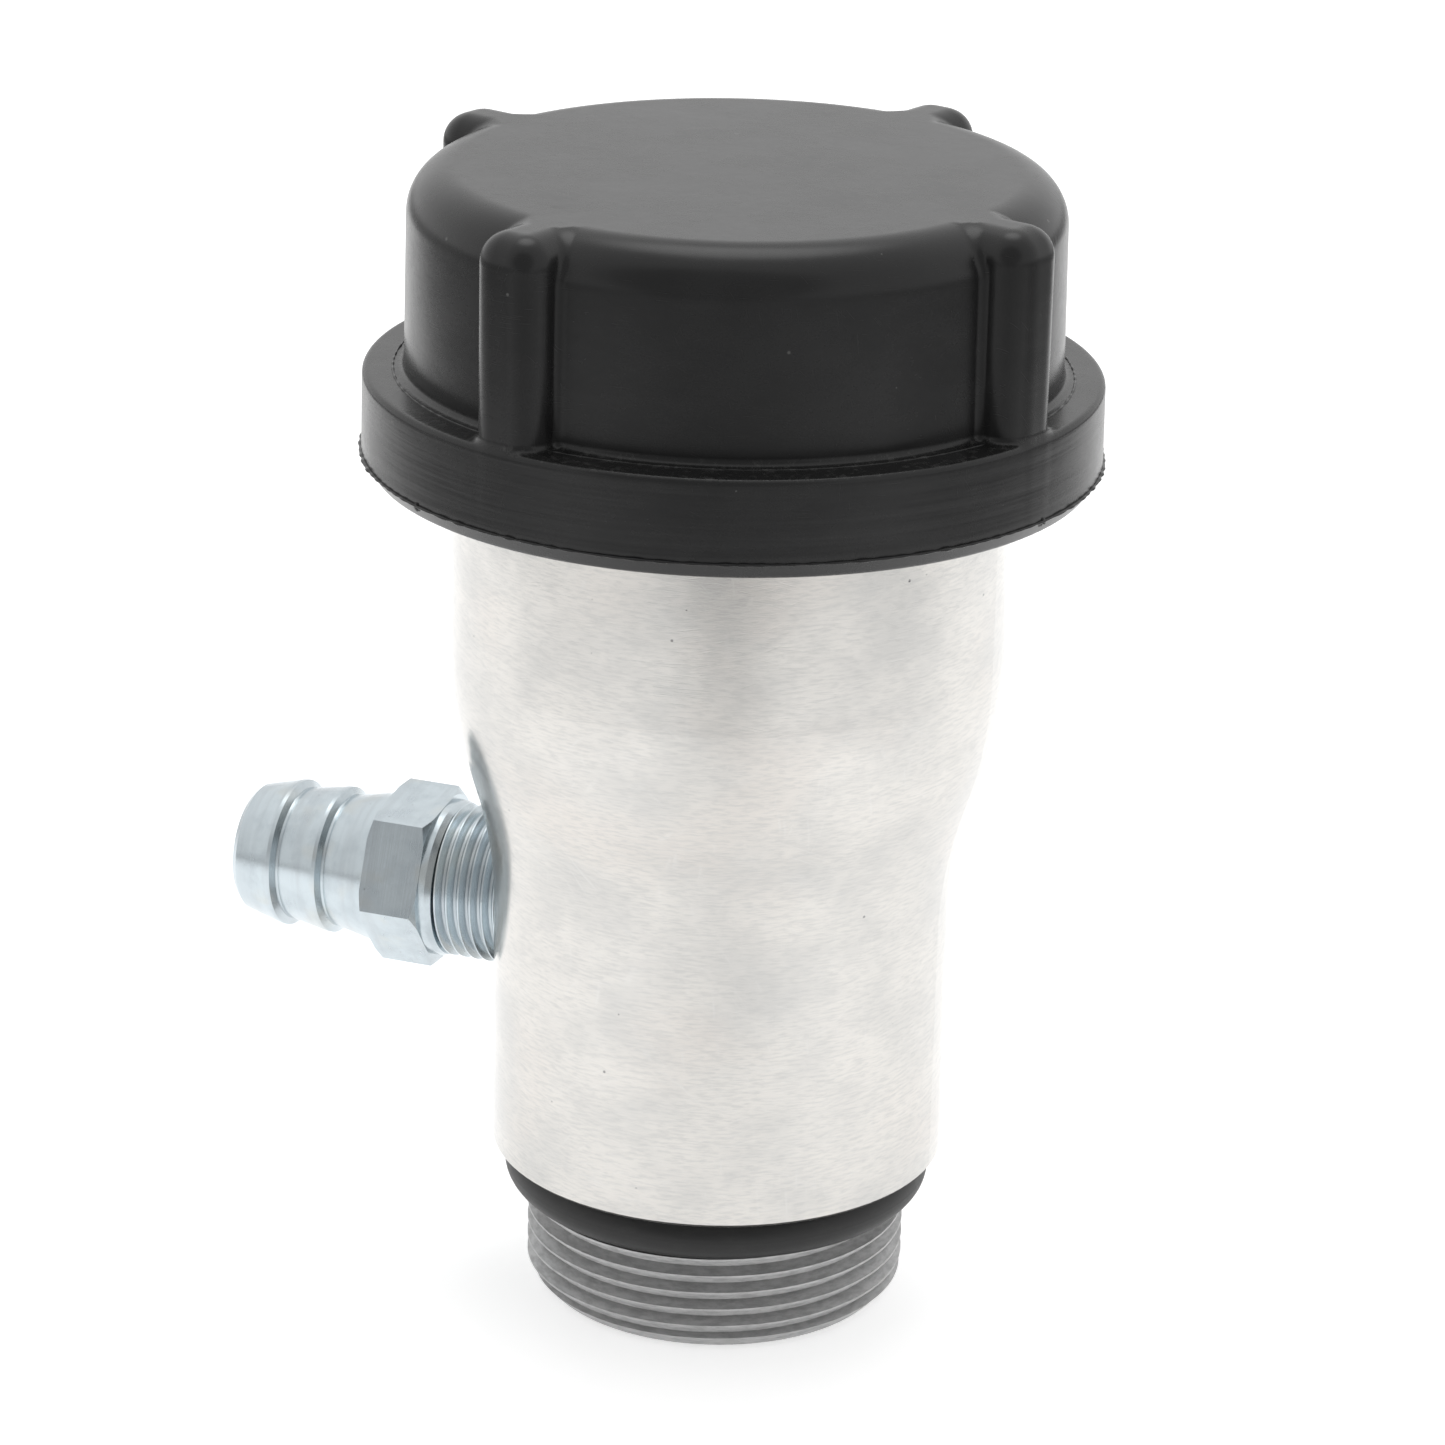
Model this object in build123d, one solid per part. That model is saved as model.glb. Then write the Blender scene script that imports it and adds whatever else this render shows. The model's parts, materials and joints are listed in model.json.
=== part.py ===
"""Small hydraulic reservoir: aluminium body with a threaded spigot, hose barb and a winged screw cap.

Millimetres, +Z up. The origin is on the body's axis at the lower end of the threaded spigot, and the hose
barb points along -X.
"""

from build123d import *
import math
import os

os.makedirs("parts", exist_ok=True)

# Threads: 60 degree flanks, and every ridge sunk a little way into its core
FLANK_SLOPE = math.tan(math.radians(30))
METRIC_DEPTH = 0.6134
METRIC_ROOT_SHARE = 0.75
METRIC_CREST_SHARE = 0.125
THREAD_EMBED = 0.25
THREAD_STRETCH = 0.5

# Threaded spigot: M42 x 2, with an O-ring's relief above it
SPIGOT_R = 21.0
SPIGOT_PITCH = 2.0
SPIGOT_ROOT_R = SPIGOT_R - METRIC_DEPTH * SPIGOT_PITCH
SPIGOT_TIP_R = 19.1
SPIGOT_CHAMFER_Z = 2.0
SPIGOT_CREST_TOP_Z = 11.3
SPIGOT_ROOT_TOP_Z = 11.9
SPIGOT_THREAD_LOW_Z = -1.0
SPIGOT_THREAD_TURNS = 6.5
SPIGOT_PHASE = -91.35
RELIEF_R = 18.4
RELIEF_LOW_Z = 12.6
SHOULDER_Z = 16.9

# Barrels and the waist between them
LOWER_R = 25.0
UPPER_R = 30.0
WAIST_LOW_Z = 44.5
WAIST_HIGH_Z = 75.0
EDGE_BREAK = 0.4
SHOULDER_BREAK = 1.0

# Cavity
BORE_R = 16.0
CAVITY_R = 24.0
CAVITY_CONE_LOW_Z = 50.0
CAVITY_CONE_HIGH_Z = 72.0

# Neck: M60 x 4 outside, strainer seat inside
NECK_R = 30.0
NECK_PITCH = 4.0
NECK_ROOT_R = NECK_R - METRIC_DEPTH * NECK_PITCH
NECK_THREAD_LOW_Z = 105.6
NECK_THREAD_TURNS = 3.0
NECK_TOP_Z = 121.2
NECK_PHASE = 40.0
BARREL_TOP_Z = 101.0
SEAT_Z = 115.5
SEAT_R = 25.5
SNAP_GROOVE_SPARE = 0.1

# Cap
CAP_LOW_Z = 95.0
CAP_PARTING_Z = 96.9
FLANGE_TOP_Z = 105.7
CAP_TOP_Z = 127.5
LIP_R = 38.2
FLANGE_R = 39.4
FLANGE_TOP_R = 39.3
FLANGE_EDGE_R = 0.6
FLASH_R = 39.8
FLASH_HALF_THICK = 0.2
CROWN_LOW_R = 34.9
CROWN_R = 34.6
CROWN_EDGE_R = 5.0
CROWN_FOOT_R = 0.8
CROWN_EMBED = 1.0
SKIRT_INNER_R = 36.2
SKIRT_CEILING_Z = 102.6
SKIRT_CHAMFER = 1.5
BORE_LEAD = 0.6
CAP_BORE_R = 30.5
CAP_RIDGE_R = 28.4
CAP_RIDGE_CREST = 0.8
GASKET_POCKET_R = 29.3
CAP_CEILING_Z = 123.8
WING_COUNT = 4
WING_ANGLE = -16.85
WING_R = 38.2
WING_WIDTH = 9.0
WING_SHIFT = -0.5
WING_TOP_Z = 127.3
WING_BLUNT_EDGE_R = 3.4
WING_SHARP_EDGE_R = 1.2
WING_TOP_EDGE_R = 2.0
WING_ROOT_R = 0.6

# Hose fitting, with stations measured outwards from the body's axis
FITTING_Z = 42.2
FITTING_INNER_S = 17.5
FITTING_BORE_R = 5.5
PORT_R = 8.55
PORT_PITCH = 1.411
PORT_THREAD_DEPTH = 0.8
PORT_CLEARANCE = 0.12
PORT_ROOT_SHARE = 0.8
PORT_LEAD = 0.9
COUNTERSINK_LOW_S = 23.6
COUNTERSINK_DEPTH = 2.0
THREAD_OUTER_S = 31.2
HEX_INNER_S = 32.7
HEX_OUTER_S = 39.5
HEX_ACROSS_FLATS = 17.7
HEX_CORNER_CHAMFER = 0.45
COLLAR_R = 8.8
COLLAR_STEP_S = 0.7
TAIL_COLLAR_R = 8.65
TAIL_S = 40.3
TAIL_R = 8.45
HEX_TURN = 22.0
BARB_STATIONS = (45.65, 51.2)
BARB_R = 8.3
BARB_ROOT_R = 7.5
NOSE_S = 56.3
NOSE_R = 7.2
NOSE_EDGE = 0.65

# Seals
RING_SECTION_R = 2.6
GASKET_INNER_R = 20.0
GASKET_SPARE = 0.1

# Strainer
RIM_INNER_R = 20.4
RIM_THICK = 1.5
TUBE_R = 20.8
TUBE_WALL = 0.6
TUBE_LOW_Z = 70.0
BASE_THICK = 1.2
BASE_LIP = 2.4
PERFORATION_R = 1.6
TUBE_SOCKET = 0.8
RIM_SPARE = 0.05
TUBE_HOLE_ROWS = 7
TUBE_HOLE_COLUMNS = 20
TUBE_HOLE_ROW_GAP = 5.4
TUBE_HOLE_FIRST = 5.5
BASE_WALL = 0.8
BASE_HOLE_CIRCLES = ((6, 6.0), (12, 12.0), (16, 17.0))
SNAP_SECTION_R = 0.8
SNAP_GAP_DEG = 30.0

CONTACT_GAP = 0.02


def lathe(*curves):
    """Turns an outline drawn as (radius, height) about the Z axis."""
    edges = [edge for curve in curves for edge in (Plane.XZ * curve).edges()]
    return revolve(make_face(edges), Axis.Z)


def ring(inner_r, outer_r, low_z, high_z):
    """A plain ring, or a disc when inner_r is zero."""
    corners = (inner_r, low_z), (outer_r, low_z), (outer_r, high_z), (inner_r, high_z)
    return lathe(Polyline(*corners, close=True))


def helix_arc(pitch, turns, radius, low_z, start_turn):
    """A stretch of one edge of a thread, no longer than its caller asks for."""
    edge = Edge.make_helix(pitch, pitch * turns, radius, center=(0, 0, low_z + pitch * start_turn))
    return Rot(0, 0, 360 * start_turn) * edge


def thread_ridge(root_r, crest_r, root_width, crest_width, pitch, turns, low_z, phase):
    """A helical ridge between two radii, with blunt ends. The crest may be outside or inside the root.

    Its flanks are made in stretches of at most THREAD_STRETCH turns.
    """
    corners = (
        (root_r, -root_width / 2),
        (crest_r, -crest_width / 2),
        (crest_r, crest_width / 2),
        (root_r, root_width / 2),
    )
    stretches = math.ceil(turns / THREAD_STRETCH)
    step = turns / stretches
    faces = []
    for index in range(stretches):
        edges = [helix_arc(pitch, step, radius, low_z + offset, index * step) for radius, offset in corners]
        faces += [Face.make_surface_from_curves(edges[i], edges[(i + 1) % 4]) for i in range(4)]
        if index == 0:
            faces.append(Face(Wire.make_polygon([edge @ 0 for edge in edges], close=True)))
        if index == stretches - 1:
            faces.append(Face(Wire.make_polygon([edge @ 1 for edge in edges], close=True)))
    return Rot(0, 0, phase) * Solid(Shell(faces))


def waist():
    """Two equal tangent arcs that carry the lower barrel out to the upper one."""
    rise = WAIST_HIGH_Z - WAIST_LOW_Z
    step = UPPER_R - LOWER_R
    half_turn = math.atan2(step, rise)
    radius = rise / 2 / math.sin(2 * half_turn)
    mid = ((LOWER_R + UPPER_R) / 2, (WAIST_LOW_Z + WAIST_HIGH_Z) / 2)
    sag = radius * (1 - math.cos(half_turn))
    lower_mid = (LOWER_R + sag, WAIST_LOW_Z + radius * math.sin(half_turn))
    upper_mid = (UPPER_R - sag, WAIST_HIGH_Z - radius * math.sin(half_turn))
    lower = ThreePointArc((LOWER_R, WAIST_LOW_Z), lower_mid, mid)
    upper = ThreePointArc(mid, upper_mid, (UPPER_R, WAIST_HIGH_Z))
    return lower, upper


def metric_ridge(crest_r, pitch, turns, low_z, phase):
    """An outside metric thread's ridge."""
    return thread_ridge(
        crest_r - METRIC_DEPTH * pitch - THREAD_EMBED,
        crest_r,
        METRIC_ROOT_SHARE * pitch + 2 * THREAD_EMBED * FLANK_SLOPE,
        METRIC_CREST_SHARE * pitch,
        pitch,
        turns,
        low_z,
        phase,
    )


def spigot_thread():
    """The spigot's ridge, trimmed by the tip's chamfer and below the O-ring."""
    ridge = metric_ridge(SPIGOT_R, SPIGOT_PITCH, SPIGOT_THREAD_TURNS, SPIGOT_THREAD_LOW_Z, SPIGOT_PHASE)
    outer_r = SPIGOT_R + 0.2
    envelope = lathe(
        Polyline(
            (BORE_R, 0),
            (SPIGOT_TIP_R, 0),
            (outer_r, outer_r - SPIGOT_R + SPIGOT_CHAMFER_Z),
            (outer_r, SPIGOT_CREST_TOP_Z),
            (SPIGOT_ROOT_R, SPIGOT_ROOT_TOP_Z),
            (BORE_R, SPIGOT_ROOT_TOP_Z),
            close=True,
        )
    )
    return ridge & envelope


def along_fitting(shape):
    """Carries a shape made along +Z to the side port's axis, pointing along -X."""
    return Pos(0, 0, FITTING_Z) * Rot(0, -90, 0) * shape


def port_thread(clearance):
    """The side port's core and ridge, grown by the clearance for the hole's own thread."""
    turns = (THREAD_OUTER_S - FITTING_INNER_S - PORT_LEAD) / PORT_PITCH
    root_r = PORT_R - PORT_THREAD_DEPTH + clearance
    ridge = thread_ridge(
        root_r - THREAD_EMBED,
        PORT_R + clearance,
        PORT_ROOT_SHARE * PORT_PITCH + 2 * THREAD_EMBED * FLANK_SLOPE + clearance,
        METRIC_CREST_SHARE * PORT_PITCH + clearance,
        PORT_PITCH,
        turns,
        FITTING_INNER_S + PORT_LEAD,
        0.0,
    )
    core = ring(0, root_r, FITTING_INNER_S - clearance, THREAD_OUTER_S + clearance)
    return core, ridge


def side_port():
    """What is cut from the body for the hose fitting: bore, thread and countersink."""
    core, ridge = port_thread(PORT_CLEARANCE)
    bore = ring(0, PORT_R - PORT_THREAD_DEPTH + PORT_CLEARANCE, BORE_R / 2, LOWER_R + 5)
    high_s = COUNTERSINK_LOW_S + COUNTERSINK_DEPTH
    countersink = lathe(
        Polyline(
            (0, COUNTERSINK_LOW_S),
            (PORT_R + 0.2, COUNTERSINK_LOW_S),
            (PORT_R + 0.2 + COUNTERSINK_DEPTH, high_s),
            (0, high_s),
            close=True,
        )
    )
    return [along_fitting(tool) for tool in (bore, core, ridge, countersink)]


def reservoir_body():
    lower, upper = waist()
    outside = Polyline(
        (BORE_R, 0),
        (SPIGOT_TIP_R, 0),
        (SPIGOT_ROOT_R, SPIGOT_ROOT_R - SPIGOT_TIP_R),
        (SPIGOT_ROOT_R, SPIGOT_ROOT_TOP_Z),
        (RELIEF_R, RELIEF_LOW_Z),
        (RELIEF_R, SHOULDER_Z),
        (LOWER_R - EDGE_BREAK, SHOULDER_Z),
        (LOWER_R, SHOULDER_Z + EDGE_BREAK),
        (LOWER_R, WAIST_LOW_Z),
    )
    neck = Polyline(
        (UPPER_R, WAIST_HIGH_Z),
        (UPPER_R, BARREL_TOP_Z - SHOULDER_BREAK),
        (UPPER_R - SHOULDER_BREAK, BARREL_TOP_Z),
        (NECK_ROOT_R, BARREL_TOP_Z),
        (NECK_ROOT_R, NECK_TOP_Z - EDGE_BREAK),
        (NECK_ROOT_R - EDGE_BREAK, NECK_TOP_Z),
        (SEAT_R + EDGE_BREAK, NECK_TOP_Z),
        (SEAT_R, NECK_TOP_Z - EDGE_BREAK),
        (SEAT_R, SEAT_Z),
        (CAVITY_R, SEAT_Z),
        (CAVITY_R, CAVITY_CONE_HIGH_Z),
        (BORE_R, CAVITY_CONE_LOW_Z),
        (BORE_R, 0),
    )
    body = lathe(outside, lower, upper, neck)
    body += spigot_thread()
    body += metric_ridge(NECK_R, NECK_PITCH, NECK_THREAD_TURNS, NECK_THREAD_LOW_Z, NECK_PHASE)
    for tool in side_port():
        body -= tool
    groove_low_z = SEAT_Z + RIM_THICK
    groove_high_z = groove_low_z + 2 * SNAP_SECTION_R + SNAP_GROOVE_SPARE
    return body - ring(SEAT_R - 0.5, SEAT_R + SNAP_SECTION_R, groove_low_z, groove_high_z)


def hexagon():
    """The fitting's hexagon with its corners chamfered, and the coned collar that ends the thread."""
    corner_r = HEX_ACROSS_FLATS / math.sqrt(3)
    prism = extrude(RegularPolygon(corner_r, 6), HEX_OUTER_S - HEX_INNER_S)
    prism = Pos(0, 0, HEX_INNER_S) * Rot(0, 0, HEX_TURN) * prism
    cone = lathe(
        Polyline(
            (0, HEX_INNER_S),
            (corner_r - 2 * HEX_CORNER_CHAMFER, HEX_INNER_S),
            (corner_r, HEX_INNER_S + HEX_CORNER_CHAMFER),
            (corner_r, HEX_OUTER_S - HEX_CORNER_CHAMFER),
            (corner_r - 2 * HEX_CORNER_CHAMFER, HEX_OUTER_S),
            (0, HEX_OUTER_S),
            close=True,
        )
    )
    collar = lathe(
        Polyline(
            (0, THREAD_OUTER_S),
            (PORT_R, THREAD_OUTER_S),
            (COLLAR_R, THREAD_OUTER_S + COLLAR_STEP_S),
            (COLLAR_R, HEX_INNER_S + 0.1),
            (0, HEX_INNER_S + 0.1),
            close=True,
        )
    )
    return (prism & cone) + collar


def barb():
    """The barbed tail, one ramp for each ridge, with a coned collar behind it and a chamfered nose."""
    outline = [(0, HEX_OUTER_S - 1), (TAIL_COLLAR_R, HEX_OUTER_S - 1), (TAIL_COLLAR_R, HEX_OUTER_S)]
    outline.append((TAIL_R, TAIL_S))
    for station in BARB_STATIONS:
        outline += [(BARB_ROOT_R, station - 0.9), (BARB_ROOT_R, station - 0.6)]
        outline += [(BARB_R, station - 0.2), (BARB_R, station + 0.25)]
    outline += [(NOSE_R, NOSE_S - NOSE_EDGE), (NOSE_R - NOSE_EDGE, NOSE_S), (0, NOSE_S)]
    return lathe(Polyline(*outline, close=True))


def hose_fitting():
    core, ridge = port_thread(0.0)
    fitting = core + ridge + hexagon() + barb()
    fitting -= ring(0, FITTING_BORE_R, FITTING_INNER_S - 1, NOSE_S + 1)
    return along_fitting(fitting)


def quarter_arc(centre, radius, start_deg, end_deg):
    """An arc about a centre in the (radius, height) plane."""
    points = []
    for angle in (start_deg, (start_deg + end_deg) / 2, end_deg):
        turn = math.radians(angle)
        points.append((centre[0] + radius * math.cos(turn), centre[1] + radius * math.sin(turn)))
    return ThreePointArc(*points)


def cap_crown():
    """The crown with its domed edge, solid, and long enough to sink into the flange."""
    dome = quarter_arc((CROWN_R - CROWN_EDGE_R, CAP_TOP_Z - CROWN_EDGE_R), CROWN_EDGE_R, 0, 90)
    low_z = FLANGE_TOP_Z - CROWN_EMBED
    return lathe(
        Polyline((0, CAP_TOP_Z), (0, low_z), (CROWN_LOW_R, low_z), dome @ 0),
        dome,
        Line(dome @ 1, (0, CAP_TOP_Z)),
    )


def cap_flange():
    """The skirt's flange, solid, with the moulding's thin flash round its widest edge."""
    edge_arc = quarter_arc((FLANGE_TOP_R - FLANGE_EDGE_R, FLANGE_TOP_Z - FLANGE_EDGE_R), FLANGE_EDGE_R, 0, 90)
    outside = Polyline(
        (0, FLANGE_TOP_Z),
        (0, CAP_LOW_Z),
        (LIP_R, CAP_LOW_Z),
        (FLANGE_R, CAP_PARTING_Z - FLASH_HALF_THICK),
        (FLASH_R, CAP_PARTING_Z - FLASH_HALF_THICK / 2),
        (FLASH_R, CAP_PARTING_Z + FLASH_HALF_THICK / 2),
        (FLANGE_R, CAP_PARTING_Z + FLASH_HALF_THICK),
        edge_arc @ 0,
    )
    return lathe(outside, edge_arc, Line(edge_arc @ 1, (0, FLANGE_TOP_Z)))


def outer_edge(block, index):
    """One of a block's upright edges furthest along +X, counted along +Y."""
    return block.edges().filter_by(Axis.Z).group_by(Axis.X)[-1].sort_by(Axis.Y)[index]


def wing():
    """One grip wing along +X, blunt on its clockwise edge and rounded on top."""
    low_z = FLANGE_TOP_Z - CROWN_EMBED
    inner_r = CROWN_R - 1.5 * CROWN_EDGE_R
    length = WING_R - inner_r
    height = WING_TOP_Z - low_z
    block = Pos(inner_r + length / 2, WING_SHIFT, low_z + height / 2) * Box(length, WING_WIDTH, height)
    block = fillet(outer_edge(block, 0), WING_BLUNT_EDGE_R)
    block = fillet(outer_edge(block, -1), WING_SHARP_EDGE_R)
    top_edges = block.faces().sort_by(Axis.Z)[-1].edges()
    inner_edge = top_edges.sort_by(Axis.X)[0]
    return fillet([edge for edge in top_edges if edge != inner_edge], WING_TOP_EDGE_R)


def is_wing_root(edge):
    """True for the curved edges where a wing's sides leave the crown."""
    radius = math.hypot(edge.center().X, edge.center().Y)
    return edge.geom_type == GeomType.BSPLINE and CROWN_R - CROWN_EDGE_R < radius < CROWN_LOW_R + 0.2


def is_foot(edge):
    """True for the edges where the crown and the wings stand on the flange."""
    radius = math.hypot(edge.center().X, edge.center().Y)
    return abs(edge.center().Z - FLANGE_TOP_Z) < 0.001 and radius < FLANGE_TOP_R - FLANGE_EDGE_R - 0.2


def cap_inside():
    """What is hollowed out of the cap: skirt, threaded bore and gasket pocket."""
    return lathe(
        Polyline(
            (0, CAP_LOW_Z - 1),
            (SKIRT_INNER_R, CAP_LOW_Z - 1),
            (SKIRT_INNER_R, SKIRT_CEILING_Z - SKIRT_CHAMFER),
            (SKIRT_INNER_R - SKIRT_CHAMFER, SKIRT_CEILING_Z),
            (CAP_BORE_R + BORE_LEAD, SKIRT_CEILING_Z),
            (CAP_BORE_R, SKIRT_CEILING_Z + BORE_LEAD),
            (CAP_BORE_R, NECK_TOP_Z - (CAP_BORE_R - GASKET_POCKET_R)),
            (GASKET_POCKET_R, NECK_TOP_Z),
            (GASKET_POCKET_R, CAP_CEILING_Z),
            (0, CAP_CEILING_Z),
            close=True,
        )
    )


def filler_cap():
    cap = cap_crown()
    for index in range(WING_COUNT):
        cap += Rot(0, 0, WING_ANGLE + index * 360 / WING_COUNT) * wing()
    cap = cap.fillet(WING_ROOT_R, [edge for edge in cap.edges() if is_wing_root(edge)])
    cap += cap_flange()
    cap = cap.fillet(CROWN_FOOT_R, [edge for edge in cap.edges() if is_foot(edge)])
    root_r = CAP_BORE_R + THREAD_EMBED
    ridge = thread_ridge(
        root_r,
        CAP_RIDGE_R,
        CAP_RIDGE_CREST + 2 * (root_r - CAP_RIDGE_R) * FLANK_SLOPE,
        CAP_RIDGE_CREST,
        NECK_PITCH,
        NECK_THREAD_TURNS - 0.25,
        NECK_THREAD_LOW_Z - NECK_PITCH / 2,
        NECK_PHASE,
    )
    return cap - cap_inside() + ridge


def cap_gasket():
    return ring(GASKET_INNER_R, GASKET_POCKET_R - GASKET_SPARE, NECK_TOP_Z, CAP_CEILING_Z)


def base_o_ring():
    centre_r = RELIEF_R + RING_SECTION_R + CONTACT_GAP
    centre_z = SHOULDER_Z - RING_SECTION_R - CONTACT_GAP
    return Pos(0, 0, centre_z) * Torus(centre_r, RING_SECTION_R)


def strainer_rim():
    rim = ring(RIM_INNER_R, SEAT_R - RIM_SPARE, SEAT_Z, SEAT_Z + RIM_THICK)
    return rim - ring(TUBE_R - TUBE_WALL, TUBE_R, SEAT_Z - 1, SEAT_Z + TUBE_SOCKET)


def strainer_gauze():
    """The strainer's tube, drilled with staggered rows of holes."""
    tube = ring(TUBE_R - TUBE_WALL, TUBE_R, TUBE_LOW_Z, SEAT_Z + TUBE_SOCKET)
    drill = Pos(TUBE_R, 0, 0) * Rot(0, 90, 0) * Cylinder(PERFORATION_R, 4)
    step = 360 / TUBE_HOLE_COLUMNS
    holes = []
    for row in range(TUBE_HOLE_ROWS):
        height = TUBE_LOW_Z + TUBE_HOLE_FIRST + row * TUBE_HOLE_ROW_GAP
        for column in range(TUBE_HOLE_COLUMNS):
            turn = (column + row % 2 / 2) * step
            holes.append(Pos(0, 0, height) * Rot(0, 0, turn) * drill)
    return tube - holes


def strainer_base():
    """A shallow cup round the tube's lower end, with drain holes."""
    low_z = TUBE_LOW_Z - BASE_THICK
    cup = ring(0, TUBE_R + BASE_WALL, low_z, TUBE_LOW_Z + BASE_LIP)
    cup -= ring(0, TUBE_R, TUBE_LOW_Z, TUBE_LOW_Z + BASE_LIP + 1)
    drill = Pos(0, 0, low_z) * Cylinder(PERFORATION_R, 3 * BASE_THICK)
    holes = [drill]
    for count, circle_r in BASE_HOLE_CIRCLES:
        holes += [Rot(0, 0, index * 360 / count) * Pos(circle_r, 0, 0) * drill for index in range(count)]
    return cup - holes


def strainer_snap_ring():
    """A round-wire ring, open at one side so that it can be squeezed into its groove."""
    centre_z = SEAT_Z + RIM_THICK + SNAP_SECTION_R + CONTACT_GAP
    centre_r = SEAT_R - RIM_SPARE
    wire = Pos(0, 0, centre_z) * Torus(centre_r, SNAP_SECTION_R)
    gap_width = 2 * centre_r * math.sin(math.radians(SNAP_GAP_DEG / 2))
    gap = Pos(0, centre_r, centre_z) * Box(gap_width, 12, 4)
    return wire - gap


NODES = (
    reservoir_body,
    filler_cap,
    cap_gasket,
    base_o_ring,
    hose_fitting,
    strainer_rim,
    strainer_gauze,
    strainer_base,
    strainer_snap_ring,
)

for make in NODES:
    export_step(make(), f"parts/{make.__name__}.step")
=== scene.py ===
"""Looks of the small hydraulic reservoir: moulded cap, metals, rubber, studio and camera.

Lengths are in metres. The cap's shape and the materials' patterns are worked out in millimetres.
"""

import json
import math

import bpy
import numpy as np
from mathutils import Matrix, Vector


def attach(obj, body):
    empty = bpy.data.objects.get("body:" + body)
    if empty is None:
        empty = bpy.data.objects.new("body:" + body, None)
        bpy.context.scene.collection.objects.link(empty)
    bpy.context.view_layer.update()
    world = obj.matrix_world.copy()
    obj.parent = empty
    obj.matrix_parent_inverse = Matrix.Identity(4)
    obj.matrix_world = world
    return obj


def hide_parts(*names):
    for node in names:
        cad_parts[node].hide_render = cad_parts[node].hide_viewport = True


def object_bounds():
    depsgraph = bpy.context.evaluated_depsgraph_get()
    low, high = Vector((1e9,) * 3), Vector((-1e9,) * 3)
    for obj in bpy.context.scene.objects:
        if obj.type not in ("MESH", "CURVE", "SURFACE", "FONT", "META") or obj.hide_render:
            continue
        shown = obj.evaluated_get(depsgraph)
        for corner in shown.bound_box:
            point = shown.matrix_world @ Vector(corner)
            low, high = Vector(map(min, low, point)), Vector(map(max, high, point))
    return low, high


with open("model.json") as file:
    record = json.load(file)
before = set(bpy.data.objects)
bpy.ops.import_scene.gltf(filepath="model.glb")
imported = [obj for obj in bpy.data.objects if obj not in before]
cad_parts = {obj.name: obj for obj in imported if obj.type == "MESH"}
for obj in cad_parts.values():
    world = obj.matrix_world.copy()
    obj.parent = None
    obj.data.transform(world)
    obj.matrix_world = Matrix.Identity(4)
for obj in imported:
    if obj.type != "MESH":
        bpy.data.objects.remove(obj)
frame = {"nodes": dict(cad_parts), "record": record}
cad_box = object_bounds()

MM = 0.001

# Camera, placed round the body's axis
CAMERA_AZIMUTH = math.radians(20.25)
CAMERA_REACH = 530.9 * MM
CAMERA_HEIGHT = 262.76 * MM
TARGET_HEIGHT = 65.56 * MM
TARGET_SIDE = -0.37 * MM
CAMERA_ROLL = math.radians(1.296)
LENS_MM = 130.04
SENSOR_MM = 36.0

# Studio: brightness seen from the object, all round
TOWARDS_CAMERA = Vector((math.sin(CAMERA_AZIMUTH), -math.cos(CAMERA_AZIMUTH), 0))
SIDEWAYS = Vector((math.cos(CAMERA_AZIMUTH), math.sin(CAMERA_AZIMUTH), 0))
BACKDROP = 1.0
FRONT = 0.8
PIT_FRONT = 0.6
PIT_SIDES = 0.36
SEEN_BACKDROP = 1.1
SOFTBOX = 1.9
SOFTBOX_TILT = math.radians(108)
DARK_LEVEL = 0.47
DARK_TILT = math.radians(25)
DARK_HEADING = math.radians(-8)

# Where each begins and ends, as the cosine of the angle from its own direction
ROOM_SPREAD = (-0.5, 0.6)
PIT_SPREAD = (0.3, 0.85)
DARK_SPREAD = (0.74, 0.88)
SOFTBOX_SPREAD = (0.93, 0.985)

# Where the pit below the horizon fades out, as the sine of the angle above it
PIT_EDGE = (-0.09, -0.02)

# Floor. Reflections find it dimmer in two places, which are in millimetres: DIM, a painted shade
# over its front, and STREAK, a painted shadow of the camera on the line towards it
FLOOR_ALBEDO = 0.88
FLOOR_GLOW = 0.47
FLOOR_FRONT = 297 * MM
FLOOR_SIDE = 340 * MM
FLOOR_BACK = 3000 * MM
DIM_OUT = (-100, 150)
DIM_REACH = (140, 320)
DIM_LOSS = 0.65
STREAK_SIDE = (110, 10)
STREAK_OUT = (50, 130)
STREAK_LOSS = 0.4

# Cap, in millimetres
CAP_LOW = 95.05
CAP_PARTING = 96.9
FLANGE_TOP = 105.7
CAP_TOP = 127.5
LIP_R = 38.2
LIP_CORNER = 0.3
FLANGE_R = 39.4
FLANGE_TOP_R = 39.3
FLANGE_CORNER = 0.6
CROWN_R = 34.6
CROWN_TAPER = 0.3 / 21.8  # 0.3 wider at its foot, 21.8 below its top
DOME_R = 5.0
WING_R = 38.9
WING_INNER = 22.0
WING_INNER_CORNER = 1.0
WING_WIDTH = 8.4
WING_SHIFT = -0.2
WING_TOP = 127.5
WING_ANGLE = math.radians(-16.85)
WING_CORNER = 3.4
WING_TOP_CORNER = 3.2
WING_BLEND = 0.8
FOOT_BLEND = 0.7
SKIRT_INNER_R = 36.2
SKIRT_CEILING = 102.6
SKIRT_CORNER = 1.2
CAP_BORE_R = 30.5
GASKET_POCKET_R = 29.3
POCKET_CORNER = 0.4
NECK_TOP = 121.2
CAP_CEILING = 123.8
RIDGE_R = 28.4
RIDGE_PITCH = 4.0
RIDGE_LOW = 103.6
RIDGE_TURNS = 2.75
RIDGE_PHASE = math.radians(40)
RIDGE_HALF_CREST = 0.4
RIDGE_FLANK = math.radians(30)
RIDGE_CORNER = 0.25

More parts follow.
